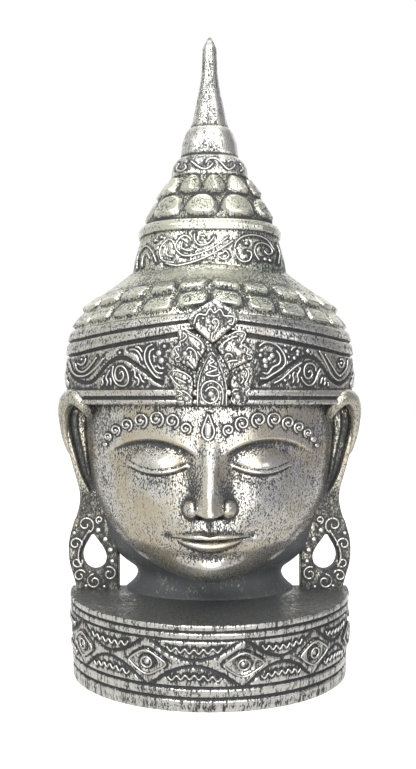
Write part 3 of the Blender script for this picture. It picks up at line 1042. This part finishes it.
print("ears")
ear = {
    # height, inner and outer edge, then how far forward the rim, the groove and the inner ridge stand
    "rows": (
        (34.0, 58.0, 87.0, 8.9, 10.0, 10.0), (38.3, 59.0, 86.0, 9.0, 10.0, 10.0),
        (45.8, 60.0, 83.8, 9.6, 9.6, 10.0), (50.0, 61.0, 82.4, 10.2, 9.0, 10.4),
        (55.0, 62.0, 81.6, 11.0, 8.6, 11.0), (61.0, 63.0, 81.6, 12.2, 8.2, 11.8),
        (68.0, 64.0, 83.2, 13.6, 9.6, 12.4), (76.0, 65.0, 85.4, 15.0, 10.8, 13.4),
        (84.0, 66.0, 87.2, 16.4, 12.0, 14.4), (92.0, 66.0, 89.4, 17.6, 12.8, 15.4),
        (100.0, 66.0, 91.4, 18.6, 13.4, 16.0), (107.0, 66.0, 92.0, 19.4, 14.0, 15.6),
        (112.0, 66.0, 92.0, 19.8, 14.4, 14.6), (116.0, 66.0, 91.4, 20.0, 13.0, 13.0),
        (120.0, 66.0, 89.6, 20.0, 20.0, 20.0), (124.0, 66.0, 86.0, 20.0, 20.0, 20.0),
    ),
    # the rim's roll over the ear: across, depth, up and radius
    "roll": (
        (85.7, 15.2, 84.0, 1.1), (87.6, 16.4, 91.0, 1.8), (88.9, 17.5, 98.0, 2.3), (89.3, 19.4, 106.0, 2.8),
        (88.1, 22.0, 113.6, 4.0), (85.0, 26.6, 118.8, 4.9), (80.6, 31.6, 120.4, 5.0),
        (76.4, 35.4, 118.4, 4.4), (73.2, 35.0, 113.8, 3.3), (71.4, 31.8, 109.8, 2.4),
        (70.6, 28.8, 106.4, 1.6),
    ),
    # at each height, how wide the rim, the groove beside it and the inner ridge are
    "widths": (
        (34.0, 12.0, 0.1, 0.1), (60.0, 8.0, 0.6, 0.1), (66.0, 6.2, 2.0, 0.4), (72.0, 5.2, 3.4, 1.0),
        (84.0, 5.0, 4.4, 2.0), (96.0, 5.4, 4.8, 3.4), (106.0, 5.8, 5.0, 4.4), (112.0, 6.4, 4.8, 3.8),
        (124.0, 7.0, 4.6, 3.0),
    ),
    "hole": ((73.2, 35.4), (76.0, 30.4), (78.8, 25.4), (80.0, 20.6), (78.6, 15.4), (74.6, 12.0), (69.8, 12.0),
             (65.8, 15.4), (64.4, 20.6), (66.4, 26.0), (70.0, 31.0)),
    "lobe": ((83.0, -4.0), (83.4, 1.5), (85.2, 8.4), (87.4, 16.0), (88.2, 23.5), (87.8, 31.0), (86.0, 38.3),
             (84.0, 44.0), (80.0, 47.0), (72.0, 47.8), (64.0, 47.0), (60.0, 44.0), (58.8, 38.3), (57.5, 31.0),
             (57.0, 23.5), (56.8, 16.0), (56.8, 8.4), (56.9, 1.5), (57.4, -4.0), (70.0, -4.6)),
    "lobeDepth": 10.0, "centre": (72.5, 21.0), "heights": 190, "rollRings": 64, "rollSides": 28,
    # the lobe's section from its hole round its front and back: share of the way out, share of its depth
    "ring": (
        (0.0, 0.86), (0.04, 0.95), (0.12, 0.99), (0.25, 1), (0.4, 1), (0.55, 1), (0.7, 1), (0.84, 1),
        (0.93, 0.97), (0.98, 0.9), (1.0, 0.8), (1.0, 0.4), (1.0, 0.14), (0.5, 0.14), (0.0, 0.14), (0.0, 0.5),
    ),
    "spirals": (
        (77.2, 40.4, 5.6, -1.3, 250), (83.4, 28.4, 4.2, -1.2, 200), (82.6, 17.0, 3.6, 1.2, 150),
        (80.8, 8.6, 4.0, -1.2, 160), (71.8, 5.0, 4.8, -1.4, 90), (62.4, 9.8, 4.6, 1.3, 60),
        (68.6, 43.4, 2.4, 1.2, 270),
    ),
    "beads": ((69.2, 36.9, 2.0), (64.8, 31.2, 2.0), (61.6, 24.6, 2.1), (60.6, 17.6, 1.7), (84.2, 35.2, 1.3),
              (77.0, 2.2, 1.2), (65.6, 1.8, 1.1)),
    "line": [(74.6, 37.2), (78.4, 31.2), (81.0, 25.4), (81.6, 19.4), (79.6, 13.6)],
}


def softColumn(profile, z, column):
    # one of the profile's numbers at each height, blurred, as a column
    return blurred(fromProfile(profile, z, column), 3.0, 0)[:, None]


def buildUpperEar(side):
    # across from the outer edge: groove + (rim - groove) inside the rim + (ridge - groove) on the ridge
    z = np.linspace(ear["rows"][0][0], ear["rows"][-1][0], ear["heights"])
    inner, outer, rim, groove, ridge = (softColumn(ear["rows"], z, k) for k in range(1, 6))
    ofRim, ofGroove, ofRidge = (softColumn(ear["widths"], z, k) for k in range(1, 4))
    inset = np.linspace(0, 1, 64)[None, :] ** 1.1 * (outer - inner)
    onRim = 1 - ramp(inset, ofRim - 0.9, ofRim + 0.9)
    start = ofRim + ofGroove
    onRidge = ramp(inset, start - 0.9, start + 0.9)
    onRidge = onRidge * (1 - ramp(inset, start + ofRidge - 0.6, start + ofRidge + 1.4))
    onRidge = onRidge * ramp(ofRidge, 0.3, 1.6)
    edge = np.sqrt(1 - (1 - np.clip(inset / 2.2, 0, 1)) ** 2)
    closed = 1 - ramp(z, 58, 66)[:, None]
    deep = groove + (rim - groove) * np.maximum(closed, 0)
    depth = deep + (rim - deep) * np.maximum(onRim, 0) + np.maximum(ridge - deep, 0) * onRidge
    depth = depth * (0.35 + 0.65 * edge)
    x = np.hstack([outer, outer - inset, inner])
    depth = np.hstack([0 * rim, depth, 0 * rim])
    points = headPoint(side * x, depth, z[:, None])
    # dark in the groove, less on the ridge, and dark again where the ear closes above its lobe
    shade = (1 - onRim) * (1 - 0.45 * onRidge) * (1 - closed) * (1 - ramp(z, 108, 114)[:, None])
    shade = np.hstack([0 * rim, shade + 0.8 * closed, 0 * rim + 0.5])
    if side > 0:
        points, shade = points[:, ::-1], shade[:, ::-1]
    soot = 0.54 + 0.2 * np.clip(hollows(points, 3, 2.5) / 0.5, -0.5, 1.0) + 0.32 * shade
    soot = soot + 0.06 * (1 - ramp(z, 56, 74)[:, None])
    return closedFront("ear" + sideName(side), points, soot, 1.2)


def buildRoll(side):
    # a round profile carried along the roll's path: middle + radius (cos across + sin out)
    stations = np.array(ear["roll"])
    rings, sides = ear["rollRings"], ear["rollSides"]
    even = np.linspace(0, len(stations) - 1, rings)
    middle = np.stack([np.interp(even, np.arange(len(stations)), stations[:, k]) for k in range(4)], axis=1)
    middle = blurred(middle, 3.0, 0)
    radius = middle[:, 3] * np.sqrt(np.clip(np.minimum(even, even[-1] - even) / 0.5, 0.02, 1))
    spots = headPoint(side * middle[:, 0], middle[:, 1], middle[:, 2])
    along = unit(np.gradient(spots, axis=0))
    across = unit(np.cross(along, [0.0, 1.0, 0.0]))
    out = np.cross(across, along)
    turn = np.linspace(0, 2 * math.pi, sides, endpoint=False)[None, :, None]
    ring = across[:, None] * np.cos(turn) + out[:, None] * np.sin(turn)
    points = spots[:, None] + ring * (radius * mm)[:, None, None]
    points[:, :, 0] = np.clip(points[:, :, 0], -widest * mm, widest * mm)
    behind = np.clip(points[:, :, 1] / mm - (backY - middle[:, 1:2]), -1, 3) / 3
    soot = 0.45 + 0.3 * behind + 0.12 * ramp(even, 6.6, 8.8)[:, None]
    faces = gridFaces(rings, sides, aroundColumns=True)
    caps = np.stack([np.arange(sides)[::-1], np.arange(sides) + (rings - 1) * sides])
    sets = [(faces, True, 0), (caps, True, 0)]
    return makeMesh("earRoll" + sideName(side), points.reshape(-1, 3), sets, soot)


def polarRadius(outline, turn):
    # distance from the lobe's centre to an outline at each angle
    loop = smoothLine(list(outline) + [outline[0]], 0.4) - np.array(ear["centre"])
    angle = np.arctan2(loop[:, 1], loop[:, 0])
    order = np.argsort(angle)
    return np.interp(turn, angle[order], np.hypot(*loop.T)[order], period=2 * math.pi)


def buildLobe(side):
    # a ring round the hole: each ray runs front to outer wall, back and the hole's own wall
    turn = np.linspace(-math.pi, math.pi, 200, endpoint=False)
    near, far = polarRadius(ear["hole"], turn)[:, None], polarRadius(ear["lobe"], turn)[:, None]
    out, deep = np.array(ear["ring"]).T[:, None, :]
    depth = ear["lobeDepth"] * deep
    radius = near + (far - near) * out
    x = ear["centre"][0] + radius * np.cos(turn)[:, None]
    z = ear["centre"][1] + radius * np.sin(turn)[:, None]
    points = headPoint(side * x, depth + 0 * radius, z)
    faces = gridFaces(*radius.shape, aroundRows=True, aroundColumns=True)
    if side > 0:
        faces = faces[:, ::-1]
    soot = 0.76 + 0.2 * (1 - ramp(depth, 6, 9.4)) + 0.7 * (1 - ramp(depth, 1.3, 3.0)) + 0 * radius
    piped = nearest(x, z, lobeLines + lobeBeads)
    soot = soot + 0.5 * fade(piped, 1.7) * ramp(depth, 8, 9.5)
    return makeMesh("lobe" + sideName(side), points.reshape(-1, 3), [(faces, True, 0)], soot)


def lobeFront(x, z):
    # flat, just inside the lobe's own front
    return headPoint(x, ear["lobeDepth"] - 0.1, z)


lobeLines = [spiral(x, z, r, 0.9, turns, start) for x, z, r, turns, start in ear["spirals"]] + [ear["line"]]
lobeBeads = [bead(*b) for b in ear["beads"]]
for side in (-1, 1):
    finishPiece(buildUpperEar(side), "silver_on_ears")
    finishPiece(buildRoll(side), "silver_on_ears")
    finishPiece(buildLobe(side), "silver_on_ears")
    lines = lobeLines if side > 0 else mirrored(lobeLines)
    beads = lobeBeads if side > 0 else mirrored(lobeBeads)
    finishPiece(pipes("lobeScrolls" + sideName(side), lines, lobeFront, 1.4, 0.95), "silver_on_wood")
    finishPiece(pipes("lobeBeads" + sideName(side), beads, lobeFront, 1.6, 0.9), "silver_on_piping")

print("brow curls")
finishPiece(pipes("browCurls", curlLines, faceSurface, 1.35, 1.1), "silver_on_piping")
finishPiece(pipes("urna", [curls["urnaDrop"]], faceSurface, 4.2, 1.4), "silver_on_piping")

print("base")
base = {
    "height": 51.5, "topHalfWidth": 87.5, "topDepth": 81.0, "footHalfWidth": 85.7, "footDepth": 67.0,
    "grooves": ((0.132, 0.178), (0.264, 0.305), (0.814, 0.846), (0.905, 0.94)), "grooveDepth": 1.6,
    "eyes": (-57.0, -23.0, 12.0, 42.0, 72.0), "perDegree": 1.45, "columns": 560, "rows": 118, "bends": 13,
    "eyeOutline": ((-1, 0), (-0.55, 0.6), (0, 1), (0.55, 0.6), (1, 0), (0.55, -0.6), (0, -1), (-0.55, -0.6)),
    "eyeHalfWidth": 11.3, "eyeHalfHeight": 7.4, "eyeProud": 0.9, "typical": (86.5, 74),
    "fieldBottom": 15.7, "fieldTop": 41.9,
}
fieldMiddle = (base["fieldBottom"] + base["fieldTop"]) / 2


def baseSize(z):
    # half width and depth, both growing evenly from the foot to the top
    share = z / base["height"]
    halfWidth = base["footHalfWidth"] + (base["topHalfWidth"] - base["footHalfWidth"]) * share
    return halfWidth, base["footDepth"] + (base["topDepth"] - base["footDepth"]) * share


def baseSurface(along, z):
    # the base's half-ellipse at z, turned by the distance along it
    x, forward = section(*baseSize(z), along / base["perDegree"])
    return headPoint(x, forward, z - baseTop)


def eyeSurface(along, z):
    # the same, moved out by the eyes' height along the half-ellipse's own slope
    angle = np.radians(along / base["perDegree"])
    ratio = base["typical"][0] / base["typical"][1]
    out = unit(np.stack([np.sin(angle), -np.cos(angle) * ratio, 0 * angle], axis=-1))
    return baseSurface(along, z) + out * base["eyeProud"] * mm


def basePattern():
    # between two eyes: a sunk arc above and below, and in each a zigzag halfway to the field's edge
    centres = [angle * base["perDegree"] for angle in (-91.0,) + base["eyes"] + (100.0,)]
    arcs, zigzags = [], []
    top, foot = base["fieldTop"], base["fieldBottom"]
    for left, right in zip(centres, centres[1:]):
        middle = (left + right) / 2
        half = (right - left) / 2
        spots = (left + 1.5, middle - 0.5 * half, middle, middle + 0.5 * half, right - 1.5)
        arcs.append(list(zip(spots, (top + 0.5, 34.6, 31.0, 34.8, top + 0.5))))
        arcs.append(list(zip(spots, (foot - 0.5, 23.8, 27.6, 23.6, foot - 0.5))))
        arcs.append([(middle, 27.8), (middle, 29.4), (middle, 31.0)])
        for sign in (-1, 1):
            bend = np.linspace(-0.56, 0.56, base["bends"])
            inner = 31.0 + 8.0 * bend ** 2 if sign > 0 else 27.6 - 8.6 * bend ** 2
            edge = top - 1.4 if sign > 0 else foot + 1.4
            upDown = np.where(np.arange(base["bends"]) % 2 == 0, 1.25, -1.25)
            height = (inner + edge) / 2 + sign * 0.9 + upDown
            zigzags.append([(middle + b * half, h) for b, h in zip(bend, height)])
    return arcs, zigzags


def eyeLines():
    # each eye's outline, a little inside its plate, and the ring round its ball
    rims, ovals = [], []
    for angle in base["eyes"]:
        along = angle * base["perDegree"]
        rims.append([
            (along + x * base["eyeHalfWidth"] * 0.94, fieldMiddle + z * base["eyeHalfHeight"] * 0.94)
            for x, z in base["eyeOutline"] + (base["eyeOutline"][0],)
        ])
        ovals.append(spiral(along, fieldMiddle, 3.0, 3.0, 1.0, 90))
    return rims, ovals


arcs, zigzags = basePattern()
rims, ovals = eyeLines()


def buildBase():
    # the half-ellipse at each height, let in at the grooves and eased at its top and bottom edges
    cuts = [(0.0, 0.0)]
    for start, end in base["grooves"]:
        lip = 0.25 * (end - start)
        cuts += [(start, 0.0), (start + lip, 1.0), (end - lip, 1.0), (end, 0.0)]
    cuts += [(1.0, 0.0)]
    z = np.linspace(0, base["height"], base["rows"])
    inset = np.interp(z / base["height"], *zip(*cuts)) * base["grooveDepth"]
    inset = blurred(inset, 0.8, 0)
    inset[-1] += 0.7
    inset[-2] += 0.25
    inset[0] += 0.5
    angle = evenAngles(base)
    halfWidth, depth = baseSize(z[:, None])
    x, forward = section(halfWidth - inset[:, None], depth - inset[:, None], angle[None, :])
    points = headPoint(x, forward, z[:, None] - baseTop)
    along = angle[None, :] * base["perDegree"] + 0 * x
    up = z[:, None] + 0 * x
    away = nearest(along, up, arcs)
    piped = nearest(along, up, zigzags + rims + ovals)
    field = ramp(up, base["fieldBottom"] - 0.3, base["fieldBottom"] + 0.5)
    field = field * (1 - ramp(up, base["fieldTop"] - 0.5, base["fieldTop"] + 0.3))
    height = -1.1 * fade(away, 1.0)
    for rim in rims:
        edge = insideOf(along, up, rim[:-1])
        height = height + base["eyeProud"] * ramp(edge, -0.9, 0.5) * (1 - 0.5 * ramp(edge, 1.0, 2.4))
    for turnOfEye in base["eyes"]:
        toEye = np.hypot((along - turnOfEye * base["perDegree"]) / 1.1, up - fieldMiddle)
        height = height + 0.9 * fade(toEye, 1.6) - 0.5 * fade(toEye - 4.4, 0.8)
    height = height - 0.4 * fade(piped - 1.1, 0.8)
    points = lifted(points, height * field)
    toZigzag = nearest(along, up, zigzags)
    soot = 0.45 + 0.45 * np.clip(hollows(points, 3, 3) / 0.3, -0.5, 1.2)
    soot += field * (0.3 * fade(piped, 1.2) + 0.75 * fade(away, 1.25))
    soot += field * 0.5 * fade(toZigzag, 2.3, 4)
    soot += 0.4 * np.clip(inset[:, None] / 1.2, 0, 1)
    return closedFront("base", points, soot, 0.0)


baseBody = finishPiece(buildBase(), "silver_on_base", "black_wash")
baseBody.data.polygons[len(baseBody.data.polygons) - 1].material_index = 2  # its last face is its top
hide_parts("carved_buddha_head")
finishPiece(pipes("baseZigzags", zigzags, baseSurface, 1.05, 0.8), "silver_on_piping")
finishPiece(pipes("baseEyeRims", rims + ovals, eyeSurface, 1.1, 0.7), "silver_on_piping")

print("studio")
floorMesh = bpy.data.meshes.new("floor")
far = 6.0
floorMesh.from_pydata([(-far, -far, 0), (far, -far, 0), (far, far, 0), (-far, far, 0)], [], [(0, 1, 2, 3)])
floor = bpy.data.objects.new("floor", floorMesh)
bpy.context.scene.collection.objects.link(floor)
floorPaint = bpy.data.materials.new("pale_floor")
floorPaint.use_nodes = True
floorShader = floorPaint.node_tree.nodes["Principled BSDF"]
floorShader.inputs["Base Color"].default_value = (0.9, 0.9, 0.9, 1)
floorShader.inputs["Roughness"].default_value = 0.9
floorShader.inputs["Emission Color"].default_value = (1.0, 1.0, 1.0, 1)
floorShader.inputs["Emission Strength"].default_value = 0.5
floor.visible_glossy = False
floorMesh.materials.append(floorPaint)

world = bpy.data.worlds.new("studioWorld")
world.use_nodes = True
worldTree = world.node_tree
studio = {
    # turn from straight ahead of the carving, then how bright the room is there: red, green, blue
    "round": (
        (-180, (1.1, 1.1, 1.1)), (-140, (1.1, 1.1, 1.1)), (-112, (0.8, 0.8, 0.8)), (-70, (0.66, 0.66, 0.6)),
        (-26, (0.8, 0.8, 0.76)), (-12, (3.0, 3.0, 3.0)), (22, (3.0, 3.0, 3.0)), (36, (0.32, 0.32, 0.35)),
        (108, (0.3, 0.3, 0.33)), (138, (1.1, 1.1, 1.1)), (180, (1.1, 1.1, 1.1)),
    ),
    "above": (1.0, 1.02, 0.92), "overhead": (2.8, 2.8, 2.7), "below": (0.78, 0.76, 0.72), "most": 3.0,
}
way = addNode(worldTree, "ShaderNodeTexCoord").outputs["Generated"]
facing = addNode(worldTree, "ShaderNodeSeparateXYZ", None, {0: way})
ahead = calculate(worldTree, "MULTIPLY", facing.outputs["Y"], -1.0)
turned = calculate(worldTree, "ARCTAN2", facing.outputs["X"], ahead)
turnShare = calculate(worldTree, "MULTIPLY_ADD", turned, 0.5 / math.pi, 0.5)
roundRamp = addNode(worldTree, "ShaderNodeValToRGB", None, {0: turnShare})
stops = roundRamp.color_ramp.elements
for place, (angle, colour) in enumerate(studio["round"]):
    stop = stops[place] if place < 2 else stops.new(1.0)
    stop.position = angle / 360.0 + 0.5
    stop.color = [c / studio["most"] for c in colour] + [1.0]
room = addNode(
    worldTree, "ShaderNodeMix", {"data_type": "RGBA", "blend_type": "MULTIPLY"},
    {0: 1.0, 6: roundRamp.outputs[0], 7: [studio["most"]] * 3 + [1.0]},
).outputs[2]
for part, start, end in (("below", -0.1, -0.55), ("above", 0.75, 0.97), ("overhead", 0.95, 0.985)):
    share = between(worldTree, facing.outputs["Z"], start, end)
    room = mixColours(worldTree, share, room, [*studio[part], 1.0])
# the camera sees plain white behind the carving
seen = addNode(worldTree, "ShaderNodeLightPath").outputs["Is Camera Ray"]
room = mixColours(worldTree, seen, room, (1.0, 1.0, 1.0, 1.0))
worldTree.links.new(room, worldTree.nodes["Background"].inputs["Color"])
bpy.context.scene.world = world
bpy.context.scene.view_settings.view_transform = "Standard"


def softBox(name, place, target, size, power):
    # a rectangular lamp whose -z axis points from its place to the target
    light = bpy.data.lights.new(name, "AREA")
    light.shape = "RECTANGLE"
    light.size, light.size_y = size
    light.energy = power
    obj = bpy.data.objects.new(name, light)
    bpy.context.scene.collection.objects.link(obj)
    obj.location = place
    obj.rotation_euler = (Vector(target) - Vector(place)).to_track_quat("-Z", "Y").to_euler()


softBox("keyLight", (-0.45, -1.1, 1.1), (0, 0, 0.2), (0.4, 0.4), 6)
softBox("fillLight", (0.9, -0.7, 0.5), (0, 0, 0.2), (0.5, 0.5), 1)

cameraData = bpy.data.cameras.new("photoCamera")
cameraData.lens = 32.77
cameraData.sensor_width = 36.0
cameraData.shift_y = 0.02
camera = bpy.data.objects.new("photoCamera", cameraData)
bpy.context.scene.collection.objects.link(camera)
camera.location = (-0.001, -0.40575, 0.1696)
camera.rotation_euler = (math.radians(90), 0, 0)
bpy.context.scene.camera = camera
